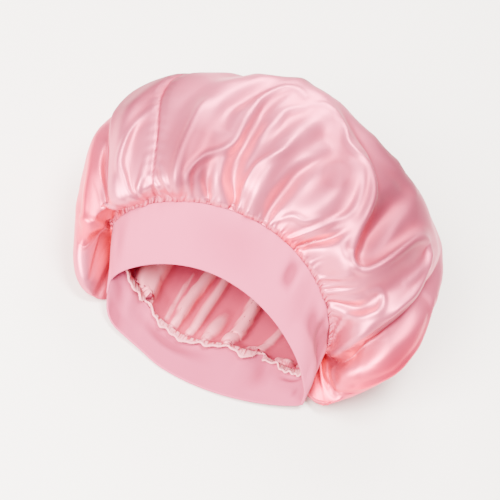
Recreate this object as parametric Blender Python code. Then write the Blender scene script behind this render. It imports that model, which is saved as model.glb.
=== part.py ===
"""A sleep bonnet lying on its back.

A puffed satin crown is gathered into a wide knit headband. The head opening faces -Y,
the top of the head would be at +Y, and the nape side is flattened on the surface at
z = 0. A gathered seam allowance stands up inside, where crown and band are sewn.
Sizes below are in millimetres, as measured on the real thing, and MM turns them into metres.
"""
import math
from collections import namedtuple

import bmesh
import bpy
import numpy as np

MM = 0.001
DRAWING_CENTRE = (-11.8, 167.9, 0.0)    # the middle of the whole bonnet, set on the origin

# ---------------------------------------------------------------- driving sizes
SATIN_WALL = 1.3          # one layer of satin with its stitched gathers
BAND_WALL = 2.6           # two layers of knit
ALLOWANCE_WALL = 1.6      # satin and knit edges, overlocked together
SEAM_GAP = 0.9            # clear space between pieces that are sewn together
ALLOWANCE_HEIGHT = 7.0    # how far the overlocked edge stands up inside

GATHER_COUNT = 28         # main gathers of the crown along the seam
GATHER_HEIGHT = 2.8
GATHER_FADE = 0.10        # share of the way to the apex where the gathers have faded
RUFFLE_COUNT = 26         # waves of the overlocked edge
RUFFLE_WAVE = 1.5

CROWN_TURNS = 84          # columns around the crown, three for each gather
CROWN_STEPS = 22          # rows from the seam to the apex
ROW_CROWDING = 1.15       # above 1, rows lie closer together near the seam
BAND_TURNS = 72
BAND_STEPS = 7
BAND_EDGE_STEPS = 3
RUFFLE_TURNS = 104
RUFFLE_STEPS = 4

FREE_LENS_UPPER = 1.25    # how pointed the band's free edge is at its ends, forehead side
FREE_LENS_LOWER = 1.10    # and nape side

# ---------------------------------------------------------------- tables
# A cross-section: "along" is the share of the way from the seam to the crown's apex, and
# the other columns are the section's outermost points.
Ring = namedtuple("Ring", "name along top left bottom right")
FREE_EDGE = Ring("free edge", 0.00, (-10, 76, 79), (-108, 55, 22), (-19, 9, 2), (109, 54, 8))
SEAM = Ring("seam", 0.00, (-11, 122, 121), (-133, 92, 50), (-14, 60, 5), (102, 98, 36))

# Local shifts of the two loops: "turn" is the angle around the opening, 0 at the right, 90
# at the top and 270 on the surface, and "push" is how far the middle of the shift is moved.
Shift = namedtuple("Shift", "name turn reach push")
FREE_SHIFTS = (
    Shift("left bow", 216, 40, (-2, -13, -2)),
)
SEAM_SHIFTS = (
    Shift("nape left", 255, 34, (0, -9, 1)),
    Shift("nape right", 292, 26, (0, 8, 2)),
    Shift("right end", 335, 26, (0, -12, -2)),
    Shift("left dip", 238, 9, (-2, 6, -3)),
    Shift("right dip", 304, 9, (3, 7, -3)),
)
COLLAR_ALONG = 0.03       # where the crown has left the seam and starts to puff
COLLAR_LENGTH = 5.0
COLLAR_RISE = 4.0

# The crown's cross-sections behind the collar.
CROWN_RINGS = (
    Ring("shoulder", 0.18, (-11, 146, 151), (-156, 70, 44), (-12, 95, -2), (140, 88, 36)),
    Ring("front", 0.34, (-11, 178, 166), (-177, 105, 58), (-10, 135, -8), (163, 100, 50)),
    Ring("widest", 0.52, (-11, 220, 168), (-194, 160, 78), (-10, 190, -8), (171, 150, 72)),
    Ring("rear", 0.72, (-11, 274, 160), (-170, 240, 86), (-10, 255, 3), (158, 235, 82)),
    Ring("back", 0.88, (-6, 314, 125), (-98, 305, 84), (-6, 302, 34), (90, 302, 82)),
)
APEX = (-4, 327, 80)

# Puffs and hollows: "turn" is the angle around the crown, 0 at the right, 90 at the top
# and 270 on the surface, and "push" is how far its middle is moved.
Puff = namedtuple("Puff", "name turn along turn_reach along_reach push")
PUFFS = (
    Puff("left cheek", 200, 0.19, 44, 0.17, (12, -22, -10)),
    Puff("left cheek front", 214, 0.12, 38, 0.10, (10, -28, -8)),
    Puff("right cheek", 338, 0.17, 44, 0.14, (0, -17, -8)),
    Puff("right cheek front", 347, 0.125, 36, 0.085, (3, -14, -5)),
    Puff("left temple", 146, 0.66, 36, 0.30, (0, 1, 1)),
    Puff("front top", 104, 0.74, 34, 0.24, (0, 7, 7)),
    Puff("back right", 66, 0.80, 26, 0.24, (-2, -8, -8)),
)

# Long folds: each runs along a line from one turn to another, stands out by "height"
# (below zero it is a groove) and leans over to one side by "lean" times its height.
Fold = namedtuple("Fold", "name turn_start turn_end start end half_width height lean")
FOLDS = (
    Fold("panel seam", 146, 150, 0.02, 0.98, 7, -6.0, 0.0),
    Fold("left roll", 158, 158, 0.10, 0.70, 11, 8.0, 0.5),
    Fold("left valley", 170, 172, 0.06, 0.60, 9, -6.0, 0.0),
    Fold("front left roll", 128, 126, 0.06, 0.85, 9, 6.0, 0.0),
    Fold("deep valley", 112, 121, 0.04, 0.80, 8, -8.0, 0.3),
    Fold("front roll", 98, 108, 0.10, 0.85, 9, 6.0, 0.0),
    Fold("middle valley", 90, 94, 0.05, 0.55, 7, -5.0, 0.0),
    Fold("front right roll", 66, 78, 0.12, 0.85, 13, 9.0, -0.4),
    Fold("right hollow", 47, 54, 0.18, 0.85, 13, -9.0, 0.0),
    Fold("flap ridge", 30, 34, 0.14, 0.75, 12, 8.0, -0.5),
    Fold("flap hollow", 8, 14, 0.08, 0.65, 10, -9.0, 0.0),
    Fold("right cheek roll", 345, 350, 0.06, 0.60, 13, 5.0, 0.0),
    Fold("left cheek roll", 192, 190, 0.06, 0.60, 14, 6.0, 0.0),
    Fold("left cheek valley", 212, 208, 0.05, 0.45, 9, -6.0, 0.0),
)


# ---------------------------------------------------------------- shape functions
def bump(distance):
    """A smooth hill, 1 at distance 0 and 0 from distance 1 on."""
    near = np.clip(np.abs(distance), 0.0, 1.0)
    return np.cos(near * math.pi / 2) ** 2


def turn_distance(turns, centre):
    """The signed angle from centre to each turn, in degrees, the short way round."""
    return (np.degrees(turns) - centre + 180.0) % 360.0 - 180.0


def section(ring, turns, lens_upper=1.0, lens_lower=1.0):
    """Points of a loop through the ring's outermost points, one for each turn."""
    across = np.cos(turns)
    height = np.sin(turns)
    top, left, bottom, right = (np.array(p, float) for p in ring[2:])
    side = np.where(across[:, None] >= 0, right, left)
    pole = np.where(height[:, None] >= 0, top, bottom)
    lens = np.where(height >= 0, lens_upper, lens_lower)
    sideways = np.abs(across)[:, None]
    upright = (np.abs(height) ** lens)[:, None]
    x = pole[:, :1] + (side[:, :1] - pole[:, :1]) * sideways
    y = pole[:, 1:2] + (side[:, 1:2] - pole[:, 1:2]) * sideways ** 2
    z = side[:, 2:] + (pole[:, 2:] - side[:, 2:]) * upright
    return np.hstack([x, y, z])


def shifted(loop, turns, shifts):
    """The loop with each shift's push added, most at its middle."""
    for shift in shifts:
        strength = bump(turn_distance(turns, shift.turn) / shift.reach)
        loop = loop + strength[:, None] * np.array(shift.push, float)
    return loop


def seam_loop(turns):
    return shifted(section(SEAM, turns), turns, SEAM_SHIFTS)


def free_loop(turns):
    edge = section(FREE_EDGE, turns, FREE_LENS_UPPER, FREE_LENS_LOWER)
    return shifted(edge, turns, FREE_SHIFTS)


def band_middle(turns, shares):
    """The middle of the band's cloth, from the free edge (0) to the seam (1)."""
    seam = seam_loop(turns)
    free = free_loop(turns)
    return np.array([free + (seam - free) * share for share in shares])


def collar_loop(turns):
    """Where the crown, a little past the seam, still runs on in line with the band."""
    band = band_middle(turns, (0.0, 1.0))
    outward, _ = surface_frame(band)
    onward = band[1] - band[0]
    onward = onward / np.linalg.norm(onward, axis=1, keepdims=True)
    return band[1] + onward * COLLAR_LENGTH + outward[1] * COLLAR_RISE


def crown_base(turns, alongs):
    """The smooth crown: a curve through the rings and the apex, as rows by columns by xyz."""
    loops = [seam_loop(turns), collar_loop(turns)]
    loops += [section(ring, turns) for ring in CROWN_RINGS]
    places = [0.0, COLLAR_ALONG] + [ring.along for ring in CROWN_RINGS]
    apex = np.broadcast_to(np.array(APEX, float), loops[0].shape)
    beyond = section(CROWN_RINGS[-1], turns + math.pi)
    before = 2 * loops[0] - loops[1]
    knots = np.array([before] + loops + [apex, beyond])
    places = np.array([-places[1]] + places + [1.0, 2.0 - places[-1]])
    slopes = (knots[2:] - knots[:-2]) / (places[2:] - places[:-2])[:, None, None]
    rows = []
    for along in alongs:
        k = int(np.clip(np.searchsorted(places, along, side="right") - 1, 1, len(places) - 3))
        span = places[k + 1] - places[k]
        w = (along - places[k]) / span
        rows.append((2 * w**3 - 3 * w**2 + 1) * knots[k]
                    + (w**3 - 2 * w**2 + w) * span * slopes[k - 1]
                    + (3 * w**2 - 2 * w**3) * knots[k + 1]
                    + (w**3 - w**2) * span * slopes[k])
    return np.array(rows)


def surface_frame(grid):
    """Unit vectors at each point of a grid closed around its columns: outward and around."""
    around = np.roll(grid, -1, axis=1) - np.roll(grid, 1, axis=1)
    onward = np.gradient(grid, axis=0)
    outward = np.cross(onward, around)
    around = around / np.maximum(np.linalg.norm(around, axis=2, keepdims=True), 1e-9)
    outward = outward / np.maximum(np.linalg.norm(outward, axis=2, keepdims=True), 1e-9)
    return outward, around


def add_puffs(grid, turns, alongs):
    """Move the surface by each puff's push, most at its middle."""
    for puff in PUFFS:
        sideways = bump(turn_distance(turns, puff.turn) / puff.turn_reach)
        lengthways = bump((alongs - puff.along) / puff.along_reach)
        grid = grid + (lengthways[:, None] * sideways)[:, :, None] * np.array(puff.push, float)
    return grid


def add_folds(grid, turns, alongs):
    """Raise each fold along its line, leaning it over where the table says so."""
    outward, around = surface_frame(grid)
    for fold in FOLDS:
        share = np.clip((alongs - fold.start) / (fold.end - fold.start), 0.0, 1.0)
        centre = fold.turn_start + (fold.turn_end - fold.turn_start) * share
        strength = np.sqrt(np.clip(np.sin(share * math.pi), 0.0, 1.0))
        offset = np.array([turn_distance(turns, c) for c in centre]) / fold.half_width
        rise = (fold.height * strength[:, None] * bump(offset))[:, :, None]
        grid = grid + rise * (outward + fold.lean * around)
    return grid


def add_gathers(grid, turns, alongs):
    """Small regular gathers, strongest just above the seam."""
    outward, _ = surface_frame(grid)
    strength = np.minimum(alongs / COLLAR_ALONG, 1.0) * np.exp(-alongs / GATHER_FADE)
    wave = np.cos(turns * GATHER_COUNT)
    return grid + (GATHER_HEIGHT * strength[:, None] * wave)[:, :, None] * outward


def crown_outer(turns, alongs):
    """The crown's outer surface, flattened on the surface that it lies on."""
    grid = crown_base(turns, alongs)
    outward, _ = surface_frame(grid)
    grid = grid + outward * SATIN_WALL / 2
    grid = add_puffs(grid, turns, alongs)
    grid = add_folds(grid, turns, alongs)
    grid = add_gathers(grid, turns, alongs)
    grid[:, :, 2] = np.maximum(grid[:, :, 2], 0.0)
    return grid


def even_turns(count):
    return np.arange(count) * 2 * math.pi / count


# ---------------------------------------------------------------- mesh builders
def material(name, colour, roughness):
    made = bpy.data.materials.new(name)
    made.use_nodes = True
    shader = made.node_tree.nodes["Principled BSDF"]
    shader.inputs["Base Color"].default_value = (*colour, 1.0)
    shader.inputs["Roughness"].default_value = roughness
    shader.inputs["Metallic"].default_value = 0.0
    return made


def place(point):
    """From the drawing, in millimetres, to the bonnet's own frame, in metres."""
    return (np.array(point) - DRAWING_CENTRE) * MM


def add_loops(bm, grid):
    """One ring of vertices for each row of the grid."""
    return [[bm.verts.new(place(point)) for point in row] for row in grid]


def join_loops(bm, lower, upper):
    """Quads between two rings with the same number of vertices."""
    count = len(lower)
    for i in range(count):
        j = (i + 1) % count
        bm.faces.new((lower[i], lower[j], upper[j], upper[i]))


def close_fan(bm, loop, tip):
    """Triangles from a ring to one vertex."""
    count = len(loop)
    for i in range(count):
        bm.faces.new((loop[i], loop[(i + 1) % count], tip))


def finish_object(name, bm, surface):
    bmesh.ops.recalc_face_normals(bm, faces=bm.faces)
    mesh = bpy.data.meshes.new(name)
    bm.to_mesh(mesh)
    bm.free()
    mesh.shade_smooth()
    mesh.materials.append(surface)
    made = bpy.data.objects.new(name, mesh)
    bpy.context.scene.collection.objects.link(made)
    return made


# ---------------------------------------------------------------- pieces
def crown_rim(turns):
    """The outer and inner edge of the satin at the seam, square to the band."""
    band = band_middle(turns, (0.0, 1.0))
    outward, _ = surface_frame(band)
    half = outward[1] * SATIN_WALL / 2
    return band[1] + half, band[1] - half


def make_crown():
    """The hollow satin crown, open at the seam."""
    turns = even_turns(CROWN_TURNS)
    alongs = np.linspace(0.0, 1.0, CROWN_STEPS + 1)[:-1] ** ROW_CROWDING
    outer = crown_outer(turns, alongs)
    outward, _ = surface_frame(outer)
    inner = outer - outward * SATIN_WALL
    inner[:, :, 2] = np.maximum(inner[:, :, 2], SATIN_WALL)
    outer[0], inner[0] = crown_rim(turns)
    tip = np.array(APEX, float)
    bm = bmesh.new()
    outer_loops = add_loops(bm, outer)
    inner_loops = add_loops(bm, inner)
    for loops in (outer_loops, inner_loops):
        for lower, upper in zip(loops, loops[1:]):
            join_loops(bm, lower, upper)
    join_loops(bm, inner_loops[0], outer_loops[0])
    close_fan(bm, outer_loops[-1], bm.verts.new(place(tip)))
    close_fan(bm, inner_loops[-1], bm.verts.new(place(tip - (0, SATIN_WALL, 0))))
    return finish_object("crown", bm, material("satin", (0.85, 0.50, 0.58), 0.30))


def make_headband():
    """The band: a folded double layer of knit, with a round free edge."""
    turns = even_turns(BAND_TURNS)
    width = np.linalg.norm(np.diff(band_middle(turns, (0.0, 1.0)), axis=0)[0], axis=1)
    seam_share = 1.0 - SEAM_GAP / width.mean()
    shares = np.linspace(BAND_WALL / 2 / width.mean(), seam_share, BAND_STEPS)
    middle = band_middle(turns, shares)
    outward, _ = surface_frame(middle)
    half = outward * BAND_WALL / 2
    edge_way = middle[0] - middle[1]
    edge_way = edge_way / np.linalg.norm(edge_way, axis=1, keepdims=True)
    loops = list(middle + half)[::-1]
    for step in range(1, BAND_EDGE_STEPS + 1):
        angle = math.pi * step / (BAND_EDGE_STEPS + 1)
        loops.append(middle[0] + half[0] * math.cos(angle)
                     + edge_way * BAND_WALL / 2 * math.sin(angle))
    loops += list(middle - half)
    grid = np.array(loops)
    grid[:, :, 2] = np.maximum(grid[:, :, 2], 0.0)
    bm = bmesh.new()
    rings = add_loops(bm, grid)
    for lower, upper in zip(rings, rings[1:] + rings[:1]):
        join_loops(bm, lower, upper)
    return finish_object("headband", bm, material("knit", (0.88, 0.60, 0.67), 0.85))


def make_seam_ruffle():
    """The overlocked seam allowance: a wavy strip that stands up inside the seam."""
    turns = even_turns(RUFFLE_TURNS)
    cloth = band_middle(turns, (0.0, 1.0))
    seam = cloth[1]
    outward, _ = surface_frame(cloth)
    inward = -outward[1]
    band_way = cloth[0] - cloth[1]
    band_way = band_way / np.linalg.norm(band_way, axis=1, keepdims=True)
    foot = BAND_WALL / 2 + SEAM_GAP
    wave = np.sin(turns * RUFFLE_COUNT)[:, None] * RUFFLE_WAVE
    half = band_way * ALLOWANCE_WALL / 2
    heights = np.linspace(foot, foot + ALLOWANCE_HEIGHT, RUFFLE_STEPS)
    sways = (heights - foot) / ALLOWANCE_HEIGHT
    sheet = np.array([seam + inward * h + band_way * wave * s for h, s in zip(heights, sways)])
    tip = sheet[-1] + inward * ALLOWANCE_WALL / 2
    grid = np.concatenate([sheet + half, tip[None], (sheet - half)[::-1]])
    bm = bmesh.new()
    rings = add_loops(bm, grid)
    for lower, upper in zip(rings, rings[1:] + rings[:1]):
        join_loops(bm, lower, upper)
    return finish_object("seam_ruffle", bm, material("overlock", (0.93, 0.66, 0.70), 0.6))


def main():
    for old in list(bpy.data.objects):
        bpy.data.objects.remove(old, do_unlink=True)
    make_crown()
    make_headband()
    make_seam_ruffle()


main()
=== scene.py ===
"""A sleep bonnet lying on its back, with its looks.

Glossy satin is gathered into a wide knit band, and an overlocked seam allowance stands up
inside. The drawing is in millimetres, in the same place as the solid model, and place()
turns it into the bonnet's own frame, in metres. "turn" is the angle around the opening in
degrees: 0 at the right, 90 at the top, 270 on the surface. "along" is the share of the way
from the seam to the back of the crown.
"""
import math
from collections import namedtuple

import bpy
import numpy as np
from bpy.props import FloatProperty, FloatVectorProperty, IntProperty, PointerProperty
from mathutils import Matrix, Vector


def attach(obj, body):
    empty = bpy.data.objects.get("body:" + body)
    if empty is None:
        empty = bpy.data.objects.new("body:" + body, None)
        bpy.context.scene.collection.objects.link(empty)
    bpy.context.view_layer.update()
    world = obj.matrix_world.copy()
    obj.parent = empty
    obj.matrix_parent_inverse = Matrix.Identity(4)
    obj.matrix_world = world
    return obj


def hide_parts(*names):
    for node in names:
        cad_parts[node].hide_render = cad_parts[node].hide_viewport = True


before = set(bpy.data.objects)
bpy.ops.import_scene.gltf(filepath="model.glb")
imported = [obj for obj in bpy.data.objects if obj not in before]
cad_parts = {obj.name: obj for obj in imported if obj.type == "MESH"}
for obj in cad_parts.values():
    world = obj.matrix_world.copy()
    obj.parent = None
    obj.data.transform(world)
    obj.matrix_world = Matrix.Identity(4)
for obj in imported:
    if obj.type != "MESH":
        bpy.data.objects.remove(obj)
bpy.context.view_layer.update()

bl_info = {
    "name": "Sleep bonnet",
    "version": (1, 0, 0),
    "blender": (4, 5, 0),
    "location": "View3D > Sidebar > Bonnet",
    "description": "Makes a satin sleep bonnet with a knit band and its studio",
    "category": "Object",
}

MM = 0.001
UV_NAME = "cloth"
# About as many stripes as a wave texture makes over one unit of its coordinate.
STRIPES_FOR_A_UNIT = 3.14

# ---------------------------------------------------------------- sizes, in millimetres
DRAWING_CENTRE = (-11.8, 167.9, 0.0)
SOLID_SATIN_WALL, SOLID_BAND_WALL, SOLID_SEAM_GAP = 1.3, 2.6, 0.9
ALLOWANCE_WALL, SEAM_GAP = 1.3, 0.3
# Powers above 1, which make the free edge's loop pointed at its sides.
LENS_UPPER, LENS_LOWER = 1.25, 1.10
# Up to this along, the crown still runs on in line with the band: how far on and out.
COLLAR_ALONG, COLLAR_LENGTH, COLLAR_RISE = 0.03, 5.0, 4.0
# How softly the cloth turns where it rests, and how high a pleat stands with its full effect.
REST_SOFTNESS, PLEAT_HEIGHT = 1.5, 7.0
# The allowance's round edge: its width in walls, its height, and the thread's loops on it.
BEAD_WIDTH, BEAD_HEIGHT = 1.5, 0.806
LOOP_HEIGHT, LOOP_WIDTH, LOOP_INSET, LOOP_SLANT = 3.2, 1.885, 1.0, 0.35
# The allowance's lean towards the band, in degrees, and the band's length, in metres.
ALLOWANCE_LEAN, NAPE_LEAN = 30.0, 66.0
BAND_LENGTH = 0.56

# Rows and columns of points. The crown's rows stand closer together near the seam.
CROWN_GRID, BAND_GRID, ALLOWANCE_GRID = (120, 640), (30, 420), (9, 900)
CROWN_CROWDING, EDGE_ROWS, BEAD_ROWS = 1.28, 9, 7
LOOP_POINTS, THREAD_POINTS = 12, 5

# ---------------------------------------------------------------- outlines, as in the solid
# Each loop around the opening has four outermost points, and pushes that bend it.
Ring = namedtuple("Ring", "name along top left bottom right")
FREE_EDGE = Ring("free edge", 0.00, (-10, 76, 79), (-108, 55, 22), (-19, 9, 2), (109, 54, 8))
SEAM = Ring("seam", 0.00, (-11, 122, 121), (-133, 92, 50), (-14, 60, 5), (102, 98, 36))
Shift = namedtuple("Shift", "name turn reach push")
FREE_SHIFTS = (Shift("left bow", 216, 40, (-2, -13, -2)),)
SEAM_SHIFTS = (
    Shift("nape left", 255, 34, (0, -9, 1)),
    Shift("nape right", 292, 26, (0, 8, 2)),
    Shift("right end", 335, 26, (0, -12, -2)),
    Shift("left dip", 238, 9, (-2, 6, -3)),
    Shift("right dip", 304, 9, (3, 7, -3)),
)
CROWN_RINGS = (
    Ring("shoulder", 0.18, (-11, 146, 151), (-156, 70, 44), (-12, 95, -2), (140, 88, 36)),
    Ring("front", 0.34, (-11, 178, 166), (-177, 105, 58), (-10, 135, -8), (163, 100, 50)),
    Ring("widest", 0.52, (-11, 220, 168), (-194, 160, 78), (-10, 190, -8), (171, 150, 72)),
    Ring("rear", 0.72, (-11, 274, 160), (-170, 240, 86), (-10, 255, 3), (158, 235, 82)),
    Ring("back", 0.88, (-6, 314, 125), (-98, 305, 84), (-6, 302, 34), (90, 302, 82)),
)
APEX = (-4, 327, 80)
Puff = namedtuple("Puff", "name turn along turn_reach along_reach push")
PUFFS = (
    Puff("left cheek", 200, 0.19, 44, 0.17, (12, -22, -10)),
    Puff("left cheek front", 214, 0.12, 38, 0.10, (10, -28, -8)),
    Puff("right cheek", 338, 0.17, 44, 0.14, (0, -17, -8)),
    Puff("right cheek front", 347, 0.125, 36, 0.085, (3, -14, -5)),
    Puff("left temple", 158, 0.56, 40, 0.36, (-7, 1, 2)),
    Puff("front top", 104, 0.74, 34, 0.24, (0, 7, 7)),
    Puff("back right", 66, 0.80, 26, 0.24, (-2, -8, -8)),
)

# ---------------------------------------------------------------- folds of the satin
# Each fold follows a path of (turn, along, height in mm), below zero where it is a groove.
# "left" and "right" are how far it reaches on either side of the path, seen from outside
# and looking away from the seam: a small reach makes a steep side. "crisp" is 0 for a round
# fold, 1 for one with a narrow crest and below 0 for one with a flat top.
# Near the seam it starts out narrower, and from FULL_WIDTH on it has its whole width.
Fold = namedtuple("Fold", "name left right crisp path")
FULL_WIDTH, PATH_SAMPLES, SEAM_SAMPLES = 0.13, 110, 120
FOLDS = (
    Fold("left lobe", 18, 14, 0, (
        (152, .02, 2), (152, .1, 4), (153, .25, 6), (152, .4, 6), (149, .55, 3), (146, .66, 1))),
    Fold("left lobe edge", 20, 9, 0.1, (
        (175, .00, -3), (170, .05, -7), (164, .12, -10), (161, .2, -11), (162, .3, -11),
        (164, .42, -10), (168, .55, -7), (174, .7, -2))),
    Fold("far left roll", 14, 10, 0.2, ((176, .05, 2), (172, .16, 4), (170, .3, 4), (168, .42, 2))),
    Fold("front left roll", 24, 18, 0, (
        (131, .00, 1), (130, .08, 4), (129, .22, 7), (127, .36, 7), (124, .5, 4), (121, .62, 1))),
    Fold("front left valley", 9, 10, 0, (
        (117, .01, -3), (118, .06, -6), (119, .13, -6), (119, .22, -3))),
    Fold("front upper valley", 14, 14, 0, (
        (118, .4, -2), (117, .5, -4), (114, .6, -4), (110, .72, -1))),
    Fold("deep valley", 14, 12, 0.1, (
        (106, .00, -4), (106, .05, -9), (109, .15, -10), (110, .24, -9), (109, .33, -8),
        (108, .45, -6), (108, .56, -4), (106, .68, -1))),
    Fold("middle roll", 18, 18, 0, (
        (98, .03, 3), (99, .12, 6), (99, .25, 7), (96, .4, 7), (93, .55, 4), (90, .66, 1))),
    Fold("middle valley", 10, 14, 0.1, (
        (91, .01, -3), (91, .1, -7), (90, .19, -8), (89, .28, -6), (86, .38, -4), (82, .48, -1))),
    Fold("front right swell", 22, 22, 0, ((78, .12, 3), (76, .25, 6), (76, .4, 6), (78, .52, 3))),
    Fold("right gather valley", 6, 8, 0.1, (
        (71, .01, -3), (68, .1, -7), (66, .18, -5), (65, .25, -2))),
    Fold("front right edge", 28, 13, 0.2, (
        (54, .17, 4), (58, .22, 6), (63, .31, 9), (67, .44, 10), (71, .5, 10), (75, .55, 9),
        (81, .59, 7), (88, .64, 4), (95, .68, 1))),
    Fold("flap top edge", 11, 24, 0.2, (
        (60, .17, 2), (54, .19, 6), (50, .24, 9), (49, .32, 10), (48, .42, 9), (45, .53, 7),
        (41, .6, 4), (36, .62, 2), (30, .6, 1))),
    Fold("back hollow", 20, 16, 0.1, (
        (57, .26, -7), (58, .36, -11), (58, .48, -10), (56, .60, -4), (55, .72, 0))),
    Fold("back shoulder", 36, 36, 0, (
        (92, .74, 1), (82, .74, 5), (72, .73, 9), (62, .74, 10), (54, .76, 7), (46, .78, 3),
        (40, .78, 0))),
    Fold("flap outer edge", 19, 8, 0.2, (
        (-1, .03, 2), (4, .05, 4), (13, .09, 6), (22, .13, 8), (29, .18, 9), (33, .26, 8),
        (33, .35, 6), (31, .46, 4), (30, .56, 2), (28, .66, 1))),
    Fold("under the flap", 7, 20, 0.1, (
        (-3, .04, -3), (6, .08, -7), (15, .12, -11), (22, .19, -13), (26, .3, -13), (26, .42, -11),
        (24, .54, -8), (20, .68, -3))),
    Fold("flap middle groove", 9, 9, 0.1, (
        (37, .00, -3), (37, .08, -5), (38, .16, -5), (39, .22, -2))),
    Fold("coral lobe", 24, 24, 0, (
        (8, .12, 2), (7, .2, 5), (8, .32, 7), (9, .45, 6), (12, .58, 3))),
    Fold("right seam pinch", 5, 6, 0.2, (
        (355, .00, -4), (357, .05, -7), (364, .08, -7), (371, .11, -4), (376, .14, -1))),
    Fold("low right tuck", 24, 20, 0, (
        (328, .14, -2), (340, .15, -5), (350, .15, -4), (357, .16, -1))),
    Fold("peach groove", 7, 8, 0.1, (
        (354, .02, -2), (354, .08, -4), (359, .13, -4), (365, .18, -2))),
    Fold("left cheek roll", 26, 26, 0, (
        (206, .03, 0), (202, .10, 3), (197, .2, 6), (198, .4, 5), (205, .6, 1))),
    Fold("left cheek pinch", 9, 10, 0.1, (
        (193, .00, -1), (186, .03, -3), (178, .06, -3), (172, .10, -1))),
    Fold("left low pinch", 9, 9, 0.1, (
        (214, .00, -2), (213, .05, -3), (211, .1, -2), (208, .16, -1))),
    Fold("back left groove", 18, 20, 0.1, (
        (184, .52, -2), (180, .64, -5), (172, .78, -4), (164, .88, -1))),
    Fold("back left roll", 22, 18, 0.2, ((196, .5, 2), (192, .66, 5), (184, .8, 4), (176, .88, 1))),
    Fold("top back groove", 18, 18, 0.1, ((130, .66, -2), (128, .76, -4), (124, .86, -1))),
    Fold("top back roll", 20, 20, 0.2, ((110, .72, 1), (108, .8, 3), (104, .88, 1))),
    Fold("back right roll", 20, 18, 0.2, ((12, .6, 3), (14, .7, 5), (20, .8, 4), (28, .88, 1))),
    Fold("back right groove", 14, 18, 0.1, ((2, .6, -2), (0, .68, -5), (4, .78, -4), (8, .88, -1))),
    Fold("low right roll", 18, 18, 0.2, ((346, .56, 2), (344, .66, 4), (344, .8, 2))),
)
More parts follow.
